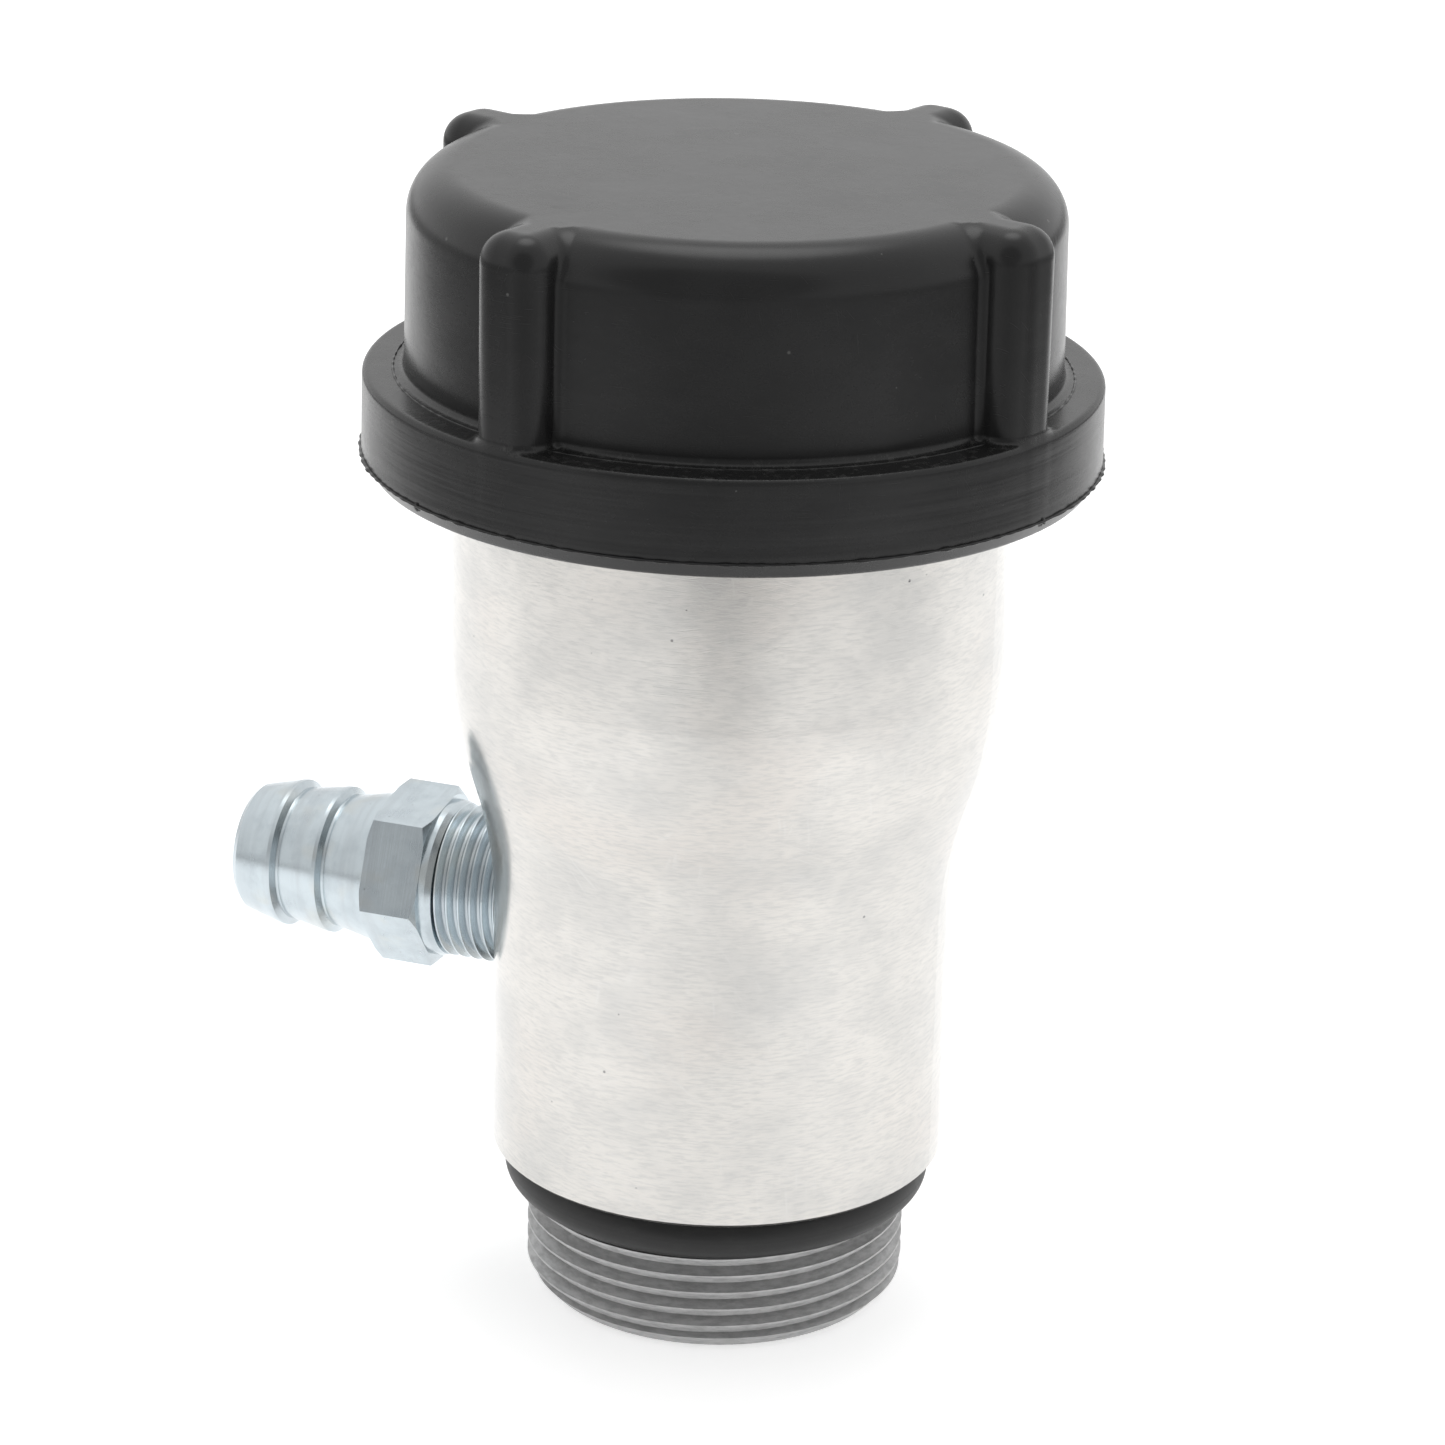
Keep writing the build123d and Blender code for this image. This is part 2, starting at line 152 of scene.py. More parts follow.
# Marks that the mould left on the cap, in millimetres and degrees
FLASH_SIZE = (0.3, 0.16)
WITNESS_R = 36.05
WITNESS_SIZE = (0.13, 0.13)
BEAD_UNEVENNESS = 0.35
WOBBLE_COUNTS = (5, 170)
NIB_ANGLES = (-124.5, -15.6)
NIB_SIZE = (0.55, 0.5, 0.6)
NIB_UNEVENNESS = 0.25
NIB_SINK = 0.35

# Grid that the cap's surface is found on, in millimetres
CELL = 0.5
FINE_CELL = 0.25
GRID_REACH = 40.25
GRID_BANDS = (
    (94.9, 97.9, FINE_CELL),
    (97.9, 104.9, CELL),
    (104.9, 106.9, FINE_CELL),
    (106.9, 127.9, CELL),
)
SETTLE_PASSES = 4
SLOPE_STEP = 0.01
LEAST_SLOPE = 0.2
LONGEST_MOVE = 0.3

# Edges of the finishes and of the painted highlights and shade, in millimetres: nothing of it at
# the first figure, all of it at the second
SPIGOT_EDGE = (12.9, 12.0)
# Thread crests lighter than their flanks: a painted highlight.
SPIGOT_CREST_HIGHLIGHT_EDGE = (20.62, 20.9)
# Darkening in the roots of the spigot's thread: painted shade.
SPIGOT_ROOT_SHADE_EDGE = (20.45, 19.85)
NECK_EDGE = (100.2, 100.9)
NECK_CREST_HIGHLIGHT_EDGE = (29.5, 29.8)
BORE_SHEEN_EDGE = (24.3, 24.0)
BORE_COLOUR_EDGE = (24.2, 24.1)
FLOW_LOW_EDGE = (97.0, 97.6)
FLOW_HIGH_EDGE = (105.4, 104.8)
# Band round the crown's foot with lighter blotches: partly soiling, partly a painted highlight.
GRIME_AND_HIGHLIGHT_LOW_EDGE = (105.3, 105.6)
GRIME_AND_HIGHLIGHT_HIGH_EDGE = (106.6, 106.0)
HOSE_AXIS_HEIGHT = 42.2
# Darker roots of the fitting's thread: painted shade.
FITTING_ROOT_SHADE_EDGE = (8.2, 7.7)
FITTING_THREAD_EDGE = (-31.6, -31.0)


def rounded_corner(a, b, radius):
    """Keeps what is inside both distances a and b, with the edge between them rounded."""
    over_a = np.maximum(a + radius, 0)
    over_b = np.maximum(b + radius, 0)
    return np.minimum(np.maximum(a, b), -radius) + np.sqrt(over_a**2 + over_b**2)


def blended_union(a, b, radius):
    """Joins two shapes, with a fillet where they meet."""
    return -rounded_corner(-a, -b, radius)


def wings_distance(x, y, z):
    """Four upright grip wings, rounded at their corners and tops."""
    best = None
    for index in range(4):
        angle = WING_ANGLE + index * math.pi / 2
        out = x * math.cos(angle) + y * math.sin(angle)
        side = np.abs(y * math.cos(angle) - x * math.sin(angle) - WING_SHIFT)
        plan = rounded_corner(side - WING_WIDTH / 2, out - WING_R, WING_CORNER)
        plan = rounded_corner(plan, WING_INNER - out, WING_INNER_CORNER)
        wing = rounded_corner(plan, z - WING_TOP, WING_TOP_CORNER)
        best = wing if best is None else np.minimum(best, wing)
    return best


def inside_distance(x, y, z, r):
    """The hollow of the cap: skirt, threaded bore and gasket pocket."""
    skirt = rounded_corner(r - SKIRT_INNER_R, z - SKIRT_CEILING, SKIRT_CORNER)
    bore = np.maximum(r - CAP_BORE_R, z - NECK_TOP)
    pocket = rounded_corner(r - GASKET_POCKET_R, z - CAP_CEILING, POCKET_CORNER)
    hollow = np.minimum(np.minimum(skirt, bore), pocket)
    turn = np.mod(np.arctan2(y, x) - RIDGE_PHASE, 2 * math.pi) / (2 * math.pi)
    count = np.clip(np.round((z - RIDGE_LOW) / RIDGE_PITCH - turn), 0, None)
    count = np.where(count + turn > RIDGE_TURNS, count - 1, count)
    gap = np.abs(z - RIDGE_LOW - RIDGE_PITCH * (count + turn))
    spread = (r - RIDGE_R) * math.tan(RIDGE_FLANK)
    flank = (gap - RIDGE_HALF_CREST - spread) * math.cos(RIDGE_FLANK)
    ridge = rounded_corner(flank, RIDGE_R - r, RIDGE_CORNER)
    return np.maximum(hollow, -ridge)


def cap_distance(points):
    """Signed distance to the cap's surface, negative inside the plastic."""
    x, y, z = points
    r = np.hypot(x, y)
    crown = rounded_corner(r - CROWN_R - CROWN_TAPER * (CAP_TOP - z), z - CAP_TOP, DOME_R)
    crown = blended_union(crown, wings_distance(x, y, z), WING_BLEND)
    crown = np.maximum(crown, z - CAP_TOP)
    taper = (FLANGE_R - FLANGE_TOP_R) / (FLANGE_TOP - CAP_PARTING)
    side = r - FLANGE_R + taper * (z - CAP_PARTING)
    flange = rounded_corner(side, z - FLANGE_TOP, FLANGE_CORNER)
    shape = blended_union(crown, flange, FOOT_BLEND)
    rise, run = CAP_PARTING - CAP_LOW, FLANGE_R - LIP_R
    lip = ((r - FLANGE_R) * rise - (z - CAP_PARTING) * run) / math.hypot(rise, run)
    shape = np.maximum(shape, lip)
    shape = rounded_corner(shape, CAP_LOW - z, LIP_CORNER)
    return rounded_corner(shape, -inside_distance(x, y, z, r), LIP_CORNER)


def sampled(distance, axes):
    """The distance at every point of a grid."""
    px, py = np.meshgrid(axes[0], axes[1], indexing="ij")
    value = np.empty(tuple(len(line) for line in axes), np.float32)
    for index, height in enumerate(axes[2]):
        value[:, :, index] = distance((px, py, np.full_like(px, height)))
    return value


def neighbours(axis, others=slice(None)):
    """Two windows on a grid, one step apart along an axis."""
    lower, upper = [others] * 3, [others] * 3
    lower[axis] = slice(None, -1)
    upper[axis] = slice(1, None)
    return tuple(lower), tuple(upper)


def crossing_points(value, solid, axes):
    """Cells that the surface passes through, and the mean of its crossings with their edges."""
    shape = tuple(n - 1 for n in value.shape)
    total = np.zeros((*shape, 3), np.float32)
    count = np.zeros(shape, np.float32)
    for axis in range(3):
        lower, upper = neighbours(axis)
        a, b = value[lower], value[upper]
        crossing = solid[lower] != solid[upper]
        share = np.where(crossing, a / np.where(a == b, 1, a - b), 0)
        line = axes[axis]
        step = np.diff(line)
        others = [n for n in range(3) if n != axis]
        for offsets in ((0, 0), (0, 1), (1, 0), (1, 1)):
            window = [slice(None)] * 3
            for other, offset in zip(others, offsets):
                window[other] = slice(offset, offset + shape[other])
            hit = crossing[tuple(window)]
            part = share[tuple(window)]
            place = [None] * 3
            view = [1, 1, 1]
            view[axis] = -1
            place[axis] = line[:-1].reshape(view) + part * step.reshape(view)
            for other, offset in zip(others, offsets):
                view = [1, 1, 1]
                view[other] = -1
                place[other] = axes[other][offset : offset + shape[other]].reshape(view)
            for n in range(3):
                total[..., n] += np.where(hit, place[n], 0)
            count += hit
    active = count > 0
    return active, total[active] / count[active][:, None]


def crossing_quads(solid, number):
    """A quad for every edge of the grid that crosses the surface, facing out of the solid."""
    quads = []
    for axis in range(3):
        lower, upper = neighbours(axis, slice(1, -1))
        a, b = solid[lower], solid[upper]
        for outward, mask in ((True, a & ~b), (False, ~a & b)):
            cell = np.argwhere(mask)
            others = [(axis + 1) % 3, (axis + 2) % 3]
            corner = []
            for first, second in ((0, 0), (1, 0), (1, 1), (0, 1)):
                spot = cell.copy()
                spot[:, others[0]] += first
                spot[:, others[1]] += second
                corner.append(number[spot[:, 0], spot[:, 1], spot[:, 2]])
            face = np.stack(corner, axis=1)
            quads.append(face if outward else face[:, ::-1])
    return np.concatenate(quads)


def settled(distance, points):
    """Moves points on to the surface, and gives its normals there."""
    points = points.astype(np.float64).T
    for _ in range(SETTLE_PASSES):
        here = distance(points)
        slope = []
        for n in range(3):
            shifted = points.copy()
            shifted[n] += SLOPE_STEP
            slope.append((distance(shifted) - here) / SLOPE_STEP)
        slope = np.array(slope)
        size = np.maximum((slope**2).sum(axis=0), LEAST_SLOPE)
        points -= np.clip(here / size, -LONGEST_MOVE, LONGEST_MOVE) * slope
    return points.T, (slope / np.linalg.norm(slope, axis=0)).T


def surface_mesh(distance, axes):
    """Points, quads and normals of the surface where a distance is zero."""
    value = sampled(distance, axes)
    solid = value < 0
    active, points = crossing_points(value, solid, axes)
    number = np.full(active.shape, -1, np.int64)
    number[active] = np.arange(active.sum())
    points, normals = settled(distance, points)
    return points, crossing_quads(solid, number), normals


def even_steps(low, high, cell):
    """Even steps from low to high, as near to the cell's size as they can be."""
    return np.linspace(low, high, max(2, round((high - low) / cell)) + 1)


def new_mesh_object(name, points_mm, faces):
    """A smooth mesh in the scene, from points in millimetres."""
    mesh = bpy.data.meshes.new(name)
    mesh.from_pydata((np.asarray(points_mm) * MM).tolist(), [], [tuple(face) for face in faces])
    mesh.validate()
    mesh.shade_smooth()
    thing = bpy.data.objects.new(name, mesh)
    bpy.context.scene.collection.objects.link(thing)
    return thing


def moulded_cap():
    """The cap's visible surface, with its blends."""
    flat = even_steps(-GRID_REACH, GRID_REACH, CELL)
    bands = [even_steps(*band) for band in GRID_BANDS]
    heights = np.concatenate([band[:-1] for band in bands[:-1]] + bands[-1:])
    points, faces, normals = surface_mesh(cap_distance, (flat, flat, heights))
    cap = new_mesh_object("moulded_cap", points, faces)
    cap.data.normals_split_custom_set_from_vertices(normals.tolist())
    return cap


def wobble(angle, seed):
    """An uneven edge: waves round a circle, between about -1 and 1."""
    waves = 9
    chance = np.random.default_rng(seed)
    total = np.zeros_like(angle)
    for _ in range(waves):
        total += np.sin(angle * chance.integers(*WOBBLE_COUNTS) + chance.uniform(0, 2 * math.pi))
    return total / math.sqrt(waves * 2)


def mould_line(name, radius, height, size, seed):
    """A thin uneven bead left by the mould round the cap, sunk halfway into its surface."""
    steps, sides = 900, 8
    angle = np.linspace(0, 2 * math.pi, steps, endpoint=False)
    uneven = 1 + BEAD_UNEVENNESS * wobble(angle, seed)
    points = []
    for side in range(sides):
        turn = 2 * math.pi * side / sides
        r = radius + size[0] * uneven * math.cos(turn)
        z = height + size[1] * uneven * math.sin(turn)
        points.append(np.stack((r * np.cos(angle), r * np.sin(angle), z), 1))
    points = np.stack(points, 1).reshape(-1, 3)
    faces = []
    for step in range(steps):
        for side in range(sides):
            a = step * sides
            b = (step + 1) % steps * sides
            after = (side + 1) % sides
            faces.append((a + side, b + side, b + after, a + after))
    return new_mesh_object(name, points, faces)


def nib(name, angle_deg):
    """A small torn lump where the mould's flash was broken off."""
    chance = np.random.default_rng(int(angle_deg) + 360)
    rings, turns = 7, 12
    points = []
    for ring in range(rings):
        tilt = math.pi * (ring + 0.5) / rings
        for turn in range(turns):
            around = 2 * math.pi * turn / turns
            grow = 1 + NIB_UNEVENNESS * chance.uniform(-1, 1)
            points.append(
                (
                    NIB_SIZE[0] * grow * math.sin(tilt) * math.cos(around),
                    NIB_SIZE[1] * grow * math.sin(tilt) * math.sin(around),
                    NIB_SIZE[2] * grow * math.cos(tilt),
                )
            )
    faces = [tuple(range(turns))[::-1], tuple(range((rings - 1) * turns, rings * turns))]
    for ring in range(rings - 1):
        for turn in range(turns):
            after = (turn + 1) % turns
            low, high = ring * turns, (ring + 1) * turns
            faces.append((low + turn, low + after, high + after, high + turn)[::-1])
    points = np.array(points)
    angle = math.radians(angle_deg)
    x = points[:, 0] + FLANGE_R - NIB_SINK
    y = points[:, 1]
    east = x * math.cos(angle) - y * math.sin(angle)
    north = x * math.sin(angle) + y * math.cos(angle)
    return new_mesh_object(name, np.stack((east, north, points[:, 2] + CAP_PARTING), 1), faces)


def joined(pieces):
    """Makes one object of several."""
    bpy.ops.object.select_all(action="DESELECT")
    for piece in pieces:
        piece.select_set(True)
    bpy.context.view_layer.objects.active = pieces[0]
    bpy.ops.object.join()
    return pieces[0]


def make_camera():
    """Looks down from the front right. The hose barb points to the left and a little away."""
    place = TOWARDS_CAMERA * CAMERA_REACH + Vector((0, 0, CAMERA_HEIGHT))
    target = SIDEWAYS * TARGET_SIDE + Vector((0, 0, TARGET_HEIGHT))
    forward = (target - place).normalized()
    level = forward.cross(Vector((0, 0, 1))).normalized()
    upright = level.cross(forward)
    right = level * math.cos(CAMERA_ROLL) + upright * math.sin(CAMERA_ROLL)
    up = upright * math.cos(CAMERA_ROLL) - level * math.sin(CAMERA_ROLL)
    data = bpy.data.cameras.new("camera")
    data.lens = LENS_MM
    data.sensor_width = SENSOR_MM
    camera = bpy.data.objects.new("camera", data)
    facing = Matrix((right, up, -forward)).transposed().to_4x4()
    camera.matrix_world = Matrix.Translation(place) @ facing
    bpy.context.scene.collection.objects.link(camera)
    bpy.context.scene.camera = camera


class Tree:
    """Short ways to add and link shader nodes."""

    def __init__(self, tree):
        self.nodes = tree.nodes
        self.links = tree.links

    def put(self, socket, value):
        if isinstance(value, bpy.types.NodeSocket):
            self.links.new(value, socket)
        elif value is not None:
            socket.default_value = value

    def add(self, kind, inputs=None, **settings):
        node = self.nodes.new(kind)
        for name, value in settings.items():
            setattr(node, name, value)
        for name, value in (inputs or {}).items():
            self.put(node.inputs[name], value)
        return node

    def math(self, operation, a, b=None, clamp=False):
        node = self.add("ShaderNodeMath", operation=operation, use_clamp=clamp)
        for socket, value in zip(node.inputs, (a, b)):
            self.put(socket, value)
        return node.outputs[0]

    def times(self, a, b):
        return self.math("MULTIPLY", a, b)

    def length(self, a, b):
        """Distance from the origin of a point in a plane."""
        squares = [self.math("POWER", value, 2.0) for value in (a, b)]
        return self.math("SQRT", self.math("ADD", *squares))

    def dot(self, vector, axis):
        names = {0: vector, 1: tuple(axis)}
        return self.add("ShaderNodeVectorMath", names, operation="DOT_PRODUCT").outputs["Value"]

    def span(self, value, low, high, to_low=0.0, to_high=1.0):
        """Carries a value from one range to another, with soft ends."""
        keys = ("Value", "From Min", "From Max", "To Min", "To Max")
        names = dict(zip(keys, (value, low, high, to_low, to_high)))
        return self.add("ShaderNodeMapRange", names, interpolation_type="SMOOTHSTEP").outputs[0]

    def mix(self, share, a, b):
        node = self.add("ShaderNodeMix", data_type="RGBA")
        for index, value in ((0, share), (6, a), (7, b)):
            self.put(node.inputs[index], value if not isinstance(value, tuple) else (*value, 1))
        return node.outputs[2]

    def over(self, colour, share, strength, top):
        """Lays another colour over this one, on its share of the surface."""
        return self.mix(self.times(share, strength), colour, top)

    def place(self, scale, turn=(0, 0, 0), shift=(0, 0, 0)):
        """Places on the object itself, in millimetres over the scale."""
        if not hasattr(self, "coordinate"):
            self.coordinate = self.add("ShaderNodeTexCoord").outputs["Object"]
        names = {"Vector": self.coordinate, "Rotation": turn}
        turned = self.add("ShaderNodeMapping", names).outputs[0]
        per_metre = tuple(1000 / s for s in scale)
        names = {"Vector": turned, "Scale": per_metre, "Location": shift}
        return self.add("ShaderNodeMapping", names).outputs[0]

    def noise(self, scale, detail=2.0, rough=0.5, turn=(0, 0, 0), shift=(0, 0, 0)):
        where = self.place(scale, turn, shift)
        names = {"Vector": where, "Scale": 1.0, "Detail": detail, "Roughness": rough}
        return self.add("ShaderNodeTexNoise", names).outputs[0]

    def specks(self, size, share, radius=0.12, shift=(0, 0, 0)):
        """Small round specks, on a share of the cells of a net of that size."""
        names = {"Vector": self.place((size, size, size), shift=shift), "Scale": 1.0}
        cell = self.add("ShaderNodeTexVoronoi", names)
        lucky = self.math("LESS_THAN", self.split(cell.outputs["Color"])[0], share)
        return self.times(self.span(cell.outputs["Distance"], radius, radius / 2), lucky)

    def split(self, vector):
        return self.add("ShaderNodeSeparateXYZ", {"Vector": vector}).outputs

    def layers(self, parts, base=None):
        """Adds weighted values together, and a base to them."""
        total = None
        for value, weight in parts:
            part = self.times(value, weight)
            total = part if total is None else self.math("ADD", total, part)
        return total if base is None else self.math("ADD", total, base)

    def bump(self, height, depth_mm, strength=1.0, normal=None):
        names = {"Height": height, "Strength": strength, "Distance": depth_mm * MM}
        return self.add("ShaderNodeBump", {**names, "Normal": normal}).outputs[0]


def new_material(name):
    """A material's tree, and the call that sets its surface and gives the material back."""
    material = bpy.data.materials.new(name)
    material.use_nodes = True
    tree = Tree(material.node_tree)
    surface = material.node_tree.nodes["Principled BSDF"]

    def finish(**inputs):
        for key, value in inputs.items():
            value = (*value, 1) if isinstance(value, tuple) and len(value) == 3 else value
            tree.put(surface.inputs[key.replace("_", " ")], value)
        return material

    return tree, finish


def scratches(tree, tilts, length, width, threshold):
    """Fine straight scratches, one family for each tilt from level and heading, in degrees."""
    total = None
    for index, (tilt, heading) in enumerate(tilts):
        turn = (math.radians(tilt), 0, math.radians(heading))
        stroke = tree.noise((length, length, width), 1.0, 0.4, turn, (3.7 * index, 1.9 * index, 0))
        where = tree.noise((9, 9, 9), 2.0, 0.6, (0, 0, 0), (11.0 * index, 0, 5.0))
        sharp = tree.span(stroke, threshold, threshold + 0.16)
        line = tree.times(sharp, tree.span(where, 0.42, 0.62))
        total = line if total is None else tree.math("MAXIMUM", total, line)
    return total


def aluminium():
    """Hand-polished body: cloudy sheen, fine crossing scratches, pits, and duller threads, with a
    painted highlight on their crests and painted shade on their flanks and roots.
    """
    tree, finish = new_material("polished_aluminium")
    x, y, z = tree.split(tree.place((1, 1, 1)))
    radius = tree.length(x, y)
    cloud = tree.noise((13, 13, 9), 4.0, 0.6)
    warm = tree.noise((22, 22, 16), 2.0, 0.5, (0, 0, 0), (4.0, 9.0, 2.0))
    fine = tree.noise((1.6, 1.6, 0.28), 3.0, 0.65)
    crossing = ((0, 0), (8, 40), (-14, 100), (32, 20), (-40, 160), (75, 60), (88, 130))
    marks = scratches(tree, crossing, 4.5, 0.11, 0.62)
    grain = tree.noise((0.35, 0.35, 0.16), 2.0, 0.7)
    wide_pits = tree.specks(4.2, 0.16, 0.05)
    pits = tree.math("MAXIMUM", wide_pits, tree.specks(1.7, 0.05, 0.07, (5.3, 1.1, 2.9)))
    spigot = tree.span(z, *SPIGOT_EDGE)
    cut = tree.math("MAXIMUM", spigot, tree.span(z, *NECK_EDGE))
    # Lighter thread crests: a painted highlight.
    spigot_crest_highlight = tree.span(radius, *SPIGOT_CREST_HIGHLIGHT_EDGE)
    crest_highlight = tree.math("MAXIMUM", spigot_crest_highlight, tree.span(radius, *NECK_CREST_HIGHLIGHT_EDGE))
    polished = tree.mix(tree.span(cloud, 0.35, 0.68), (0.665, 0.648, 0.62), (0.575, 0.567, 0.55))
    polished = tree.over(polished, tree.span(warm, 0.5, 0.66), 0.5, (0.66, 0.625, 0.59))
    polished = tree.over(polished, tree.span(fine, 0.40, 0.7), 0.5, (0.49, 0.49, 0.48))
    polished = tree.over(polished, marks, 0.3, (0.72, 0.715, 0.70))
    polished = tree.over(polished, pits, 0.8, (0.2, 0.2, 0.2))
    streaks = tree.span(fine, 0.35, 0.7)
    # Darker thread flanks, and darker still in the spigot's thread roots: painted shade.
    flank = tree.mix(streaks, (0.34, 0.335, 0.33), (0.26, 0.26, 0.255))
    flank = tree.over(flank, tree.span(radius, *SPIGOT_ROOT_SHADE_EDGE), spigot, (0.13, 0.13, 0.128))
    threaded = tree.mix(crest_highlight, flank, (0.56, 0.55, 0.545))
    machined = tree.mix(streaks, (0.5, 0.5, 0.5), (0.38, 0.38, 0.38))
    colour = tree.mix(cut, polished, threaded)
    colour = tree.mix(tree.span(radius, *BORE_COLOUR_EDGE), colour, machined)
    bore = tree.span(radius, *BORE_SHEEN_EDGE)
    parts = ((cloud, 0.08), (fine, 0.05), (marks, 0.05), (cut, 0.2), (bore, 0.14))
    rough = tree.layers(parts, 0.1)
    relief = tree.layers(((grain, 0.3), (fine, 0.3), (marks, -0.35), (pits, -1.5)))
    swell = tree.noise((7, 7, 5), 2.0, 0.5, (0, 0, 0), (2.0, 2.0, 7.0))
    normal = tree.bump(relief, 0.007, 0.7, tree.bump(swell, 0.02, 0.5))
    return finish(Base_Color=colour, Metallic=1.0, Roughness=rough, Normal=normal)


def plastic():
    """Moulded black cap: satin skin, faint flow lines on the flange, dust, scuffs, and a blotchy
    lighter band round the crown's foot that is partly soiling and partly a painted highlight.
    """
    tree, finish = new_material("moulded_black_plastic")
    z = tree.split(tree.place((1, 1, 1)))[2]
    skin = tree.noise((1.1, 1.1, 0.7), 2.0, 0.5)
    patches = tree.noise((9, 9, 6), 3.0, 0.55)
    flow = tree.noise((40, 40, 1.1), 2.0, 0.5)
    scuffs = scratches(tree, ((4, 10), (86, 75), (60, 140)), 3.5, 0.09, 0.66)
    wide_dust = tree.specks(5.5, 0.16, 0.045)
    dust = tree.math("MAXIMUM", wide_dust, tree.specks(2.4, 0.06, 0.05, (2.2, 7.1, 0.4)))
    on_flange = tree.times(tree.span(z, *FLOW_HIGH_EDGE), tree.span(z, *FLOW_LOW_EDGE))
    foot = tree.times(tree.span(z, *GRIME_AND_HIGHLIGHT_HIGH_EDGE), tree.span(z, *GRIME_AND_HIGHLIGHT_LOW_EDGE))
    blotches = tree.noise((0.9, 0.9, 0.9), 3.0, 0.7)
    # Lighter blotches round the crown's foot: partly soiling, partly a painted highlight.
    grime_and_highlight = tree.times(foot, tree.span(blotches, 0.5, 0.72))
    shades = ((0.0122, 0.0122, 0.0124), (0.015, 0.015, 0.0152))
    colour = tree.mix(tree.span(patches, 0.35, 0.7), *shades)
    colour = tree.over(colour, scuffs, 0.06, (0.06, 0.06, 0.06))
    colour = tree.over(colour, grime_and_highlight, 0.35, (0.09, 0.09, 0.088))
    colour = tree.over(colour, dust, 0.5, (0.16, 0.16, 0.155))
    rough = tree.layers(((patches, 0.10), (skin, 0.05), (scuffs, 0.04), (grime_and_highlight, 0.06)), 0.19)
    flow_height = tree.times(flow, on_flange)
    relief = tree.layers(((skin, 0.02), (flow_height, 1.2), (scuffs, -0.015)))
    normal = tree.bump(relief, 0.05, 0.5, tree.bump(patches, 0.12, 0.35))
    return finish(Base_Color=colour, Roughness=rough, IOR=1.42, Normal=normal)


def rubber():
    """Nitrile seals: soft black with a mould seam, bloom and lint."""
    tree, finish = new_material("nitrile_rubber")
    skin = tree.noise((0.25, 0.25, 0.25), 3.0, 0.6)
    bloom = tree.noise((4, 4, 2), 4.0, 0.65)
    rings = tree.noise((30, 30, 0.35), 1.0, 0.5)
    lint = tree.specks(2.1, 0.10, 0.06)
    shades = ((0.006, 0.006, 0.0062), (0.014, 0.014, 0.0135))
    colour = tree.mix(tree.span(bloom, 0.45, 0.75), *shades)
    colour = tree.over(colour, lint, 0.6, (0.16, 0.155, 0.14))
    rough = tree.layers(((bloom, 0.2), (skin, 0.12)), 0.3)
    relief = tree.layers(((skin, 0.3), (rings, 0.6), (lint, 0.4)))
    normal = tree.bump(relief, 0.03, 0.5)
    return finish(Base_Color=colour, Roughness=rough, IOR=1.48, Normal=normal)


def zinc():
    """Bright zinc plate on turned steel: bluish, with bands round the fitting's own axis and
    painted shade in the roots of its thread.
    """
    tree, finish = new_material("bright_zinc_plate")
    x, y, z = tree.split(tree.place((1, 1, 1)))
    radius = tree.length(y, tree.math("SUBTRACT", z, HOSE_AXIS_HEIGHT))
    turned = tree.noise((0.22, 25, 25), 2.0, 0.6)
    bands = tree.noise((1.6, 30, 30), 2.0, 0.55)
    haze = tree.noise((3.2, 3.2, 3.2), 4.0, 0.6)
    tint = tree.noise((5, 5, 5), 2.0, 0.5, (0, 0, 0), (8.0, 3.0, 1.0))
    grain = tree.noise((0.16, 0.16, 0.16), 2.0, 0.6)
    pits = tree.specks(1.3, 0.14, 0.09)
    # Darker roots of the fitting's thread: painted shade.
    shaded_root = tree.times(tree.span(radius, *FITTING_ROOT_SHADE_EDGE), tree.span(x, *FITTING_THREAD_EDGE))
    colour = tree.mix(tree.span(haze, 0.38, 0.7), (0.585, 0.65, 0.685), (0.51, 0.57, 0.605))
    colour = tree.over(colour, tree.span(tint, 0.55, 0.7), 0.3, (0.60, 0.60, 0.55))
    colour = tree.over(colour, tree.span(bands, 0.45, 0.65), 0.35, (0.46, 0.50, 0.53))
    colour = tree.over(colour, shaded_root, 0.15, (0.3, 0.32, 0.33))
    colour = tree.over(colour, pits, 0.6, (0.12, 0.12, 0.12))
    rough = tree.layers(((haze, 0.12), (turned, 0.08), (shaded_root, 0.1)), 0.15)
    relief = tree.layers(((turned, 0.5), (grain, 0.25), (pits, -0.8)))
    normal = tree.bump(relief, 0.012, 0.8, tree.bump(haze, 0.02, 0.4))
    return finish(Base_Color=colour, Metallic=1.0, Roughness=rough, Normal=normal)


def steel_sheet():
    """Rolled sheet of the strainer: grain along the rolling direction, oil stains."""
    tree, finish = new_material("rolled_steel_sheet")
    rolled = tree.noise((6, 6, 0.12), 3.0, 0.6)
    stains = tree.noise((7, 7, 7), 4.0, 0.6)
    grain = tree.noise((0.2, 0.2, 0.2), 2.0, 0.6)
    marks = scratches(tree, ((3, 30), (70, 110)), 3.0, 0.08, 0.64)
    colour = tree.mix(tree.span(stains, 0.35, 0.7), (0.60, 0.60, 0.59), (0.47, 0.465, 0.45))
    colour = tree.over(colour, rolled, 0.4, (0.40, 0.40, 0.40))
    colour = tree.over(colour, marks, 0.3, (0.72, 0.72, 0.71))
    rough = tree.layers(((stains, 0.12), (rolled, 0.16)), 0.18)
    relief = tree.layers(((rolled, 0.6), (grain, 0.3), (marks, -0.4)))
    normal = tree.bump(relief, 0.012, 0.8)
    return finish(Base_Color=colour, Metallic=1.0, Roughness=rough, Normal=normal)


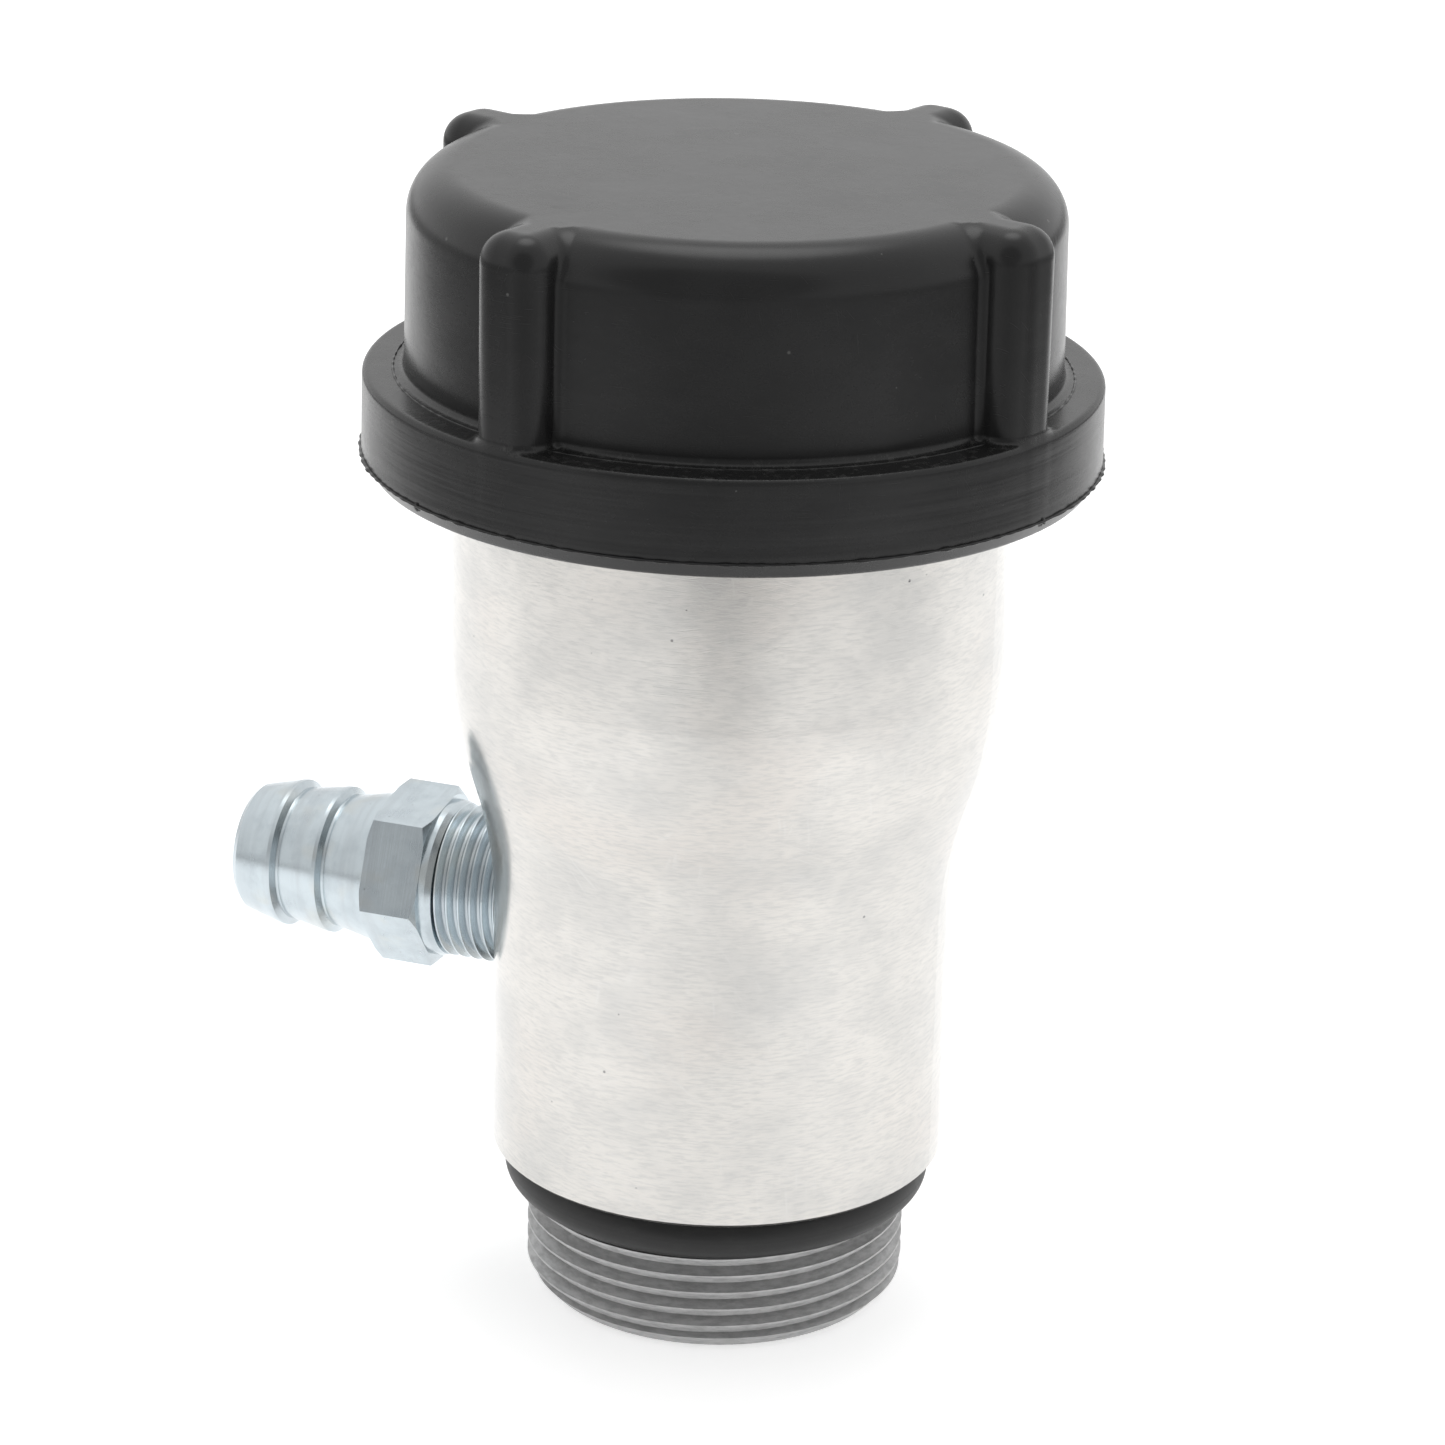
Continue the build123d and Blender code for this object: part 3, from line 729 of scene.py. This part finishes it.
def spring_wire():
    """Drawn spring wire: dark, with draw lines along it and a straw-coloured tint."""
    tree, finish = new_material("drawn_spring_wire")
    drawn = tree.noise((9, 9, 0.09), 2.0, 0.6)
    tint = tree.noise((4, 4, 4), 3.0, 0.6)
    grain = tree.noise((0.15, 0.15, 0.15), 2.0, 0.6)
    colour = tree.mix(tree.span(tint, 0.4, 0.7), (0.33, 0.33, 0.335), (0.36, 0.31, 0.24))
    colour = tree.over(colour, drawn, 0.4, (0.2, 0.2, 0.2))
    rough = tree.layers(((drawn, 0.18), (tint, 0.08)), 0.18)
    relief = tree.layers(((drawn, 0.6), (grain, 0.3)))
    normal = tree.bump(relief, 0.01, 0.8)
    return finish(Base_Color=colour, Metallic=1.0, Roughness=rough, Normal=normal)


def make_world():
    """A pale studio, brighter behind, with a dark patch in front and a softbox overhead.

    Only light and reflections find these differences: the camera sees it plain white.
    """
    world = bpy.data.worlds.new("studio")
    bpy.context.scene.world = world
    world.use_nodes = True
    tree = Tree(world.node_tree)
    direction = tree.add("ShaderNodeTexCoord").outputs["Generated"]

    def lean(towards):
        return tree.dot(direction, towards)

    def tilted(angle, heading=0.0):
        level = TOWARDS_CAMERA * math.cos(heading) + SIDEWAYS * math.sin(heading)
        return level * math.cos(angle) + Vector((0, 0, math.sin(angle)))

    height = tree.split(direction)[2]
    room = tree.span(lean(TOWARDS_CAMERA), *ROOM_SPREAD, BACKDROP, FRONT)
    pit = tree.span(lean(TOWARDS_CAMERA), *PIT_SPREAD, PIT_SIDES, PIT_FRONT)
    room = tree.times(room, tree.span(height, *PIT_EDGE, pit, 1.0))
    dark = tree.span(lean(tilted(DARK_TILT, DARK_HEADING)), *DARK_SPREAD)
    room = tree.times(room, tree.span(dark, 0.0, 1.0, 1.0, DARK_LEVEL))
    softbox = tree.span(lean(tilted(SOFTBOX_TILT)), *SOFTBOX_SPREAD, 0.0, SOFTBOX)
    room = tree.math("ADD", room, softbox)
    seen = tree.add("ShaderNodeLightPath").outputs["Is Camera Ray"]
    names = {"Factor": seen, "A": room, "B": SEEN_BACKDROP}
    level = tree.add("ShaderNodeMix", names).outputs["Result"]
    tree.put(world.node_tree.nodes["Background"].inputs["Strength"], level)
    tree.put(world.node_tree.nodes["Background"].inputs["Color"], (1, 1, 1, 1))


def make_floor():
    """A sheet of pale paper that ends in front of the object, at its sides and far behind it.

    Its dim front, a painted shade, and the streak there, a painted shadow of the camera, are found
    by reflections and bounced light only: the camera sees even paper.
    """
    near, far, wide = FLOOR_FRONT, -FLOOR_BACK, FLOOR_SIDE
    corners = ((near, wide), (far, wide), (far, -wide), (near, -wide))
    corners = [TOWARDS_CAMERA * out + SIDEWAYS * side for out, side in corners]
    mesh = bpy.data.meshes.new("floor")
    mesh.from_pydata([(point.x, point.y, cad_box[0].z) for point in corners], [], [(0, 1, 2, 3)])
    floor = bpy.data.objects.new("floor", mesh)
    bpy.context.scene.collection.objects.link(floor)
    tree, finish = new_material("floor_paper")
    fibres = tree.noise((0.6, 0.6, 0.6), 3.0, 0.6)
    normal = tree.bump(fibres, 0.02, 0.2)
    where = tree.place((1, 1, 1))
    out, side = tree.dot(where, TOWARDS_CAMERA), tree.dot(where, SIDEWAYS)
    reach = tree.add("ShaderNodeVectorMath", {0: where}, operation="LENGTH").outputs["Value"]
    # Painted shade over the front, and a painted shadow of the camera in a streak along the line
    # towards it.
    dim = tree.times(tree.span(out, *DIM_OUT), tree.span(reach, *DIM_REACH))
    off_line = tree.math("ABSOLUTE", side)
    streak = tree.times(tree.span(off_line, *STREAK_SIDE), tree.span(out, *STREAK_OUT))
    loss = tree.layers(((dim, DIM_LOSS), (streak, STREAK_LOSS)))
    unseen = tree.math("SUBTRACT", 1.0, tree.add("ShaderNodeLightPath").outputs["Is Camera Ray"])
    loss = tree.times(loss, unseen)
    glow = tree.times(tree.math("SUBTRACT", 1.0, loss, clamp=True), FLOOR_GLOW)
    white = (FLOOR_ALBEDO, FLOOR_ALBEDO, FLOOR_ALBEDO)
    light = {"Emission_Color": (1.0, 1.0, 1.0), "Emission_Strength": glow}
    floor.data.materials.append(finish(Base_Color=white, Roughness=0.95, Normal=normal, **light))


FINISHES = {
    "body_metal": aluminium(),
    "cap_plastic": plastic(),
    "seal_rubber": rubber(),
    "fitting_metal": zinc(),
    "strainer_metal": steel_sheet(),
    "spring_steel": spring_wire(),
}
NODE_SLOTS = {entry["node"]: entry["material_slot"] for entry in frame["record"]["subparts"]}

for name, node in frame["nodes"].items():
    node.data.materials.clear()
    node.data.materials.append(FINISHES[NODE_SLOTS[name]])

pieces = [moulded_cap()]
pieces.append(mould_line("flash", FLANGE_R, CAP_PARTING, FLASH_SIZE, 3))
pieces.append(mould_line("witness", WITNESS_R, FLANGE_TOP, WITNESS_SIZE, 8))
pieces += [nib("nib", angle) for angle in NIB_ANGLES]
cap = joined(pieces)
cap.data.materials.append(FINISHES["cap_plastic"])
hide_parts("filler_cap")
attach(cap, "cap")

make_camera()
make_world()
make_floor()
bpy.context.scene.view_settings.view_transform = "Standard"
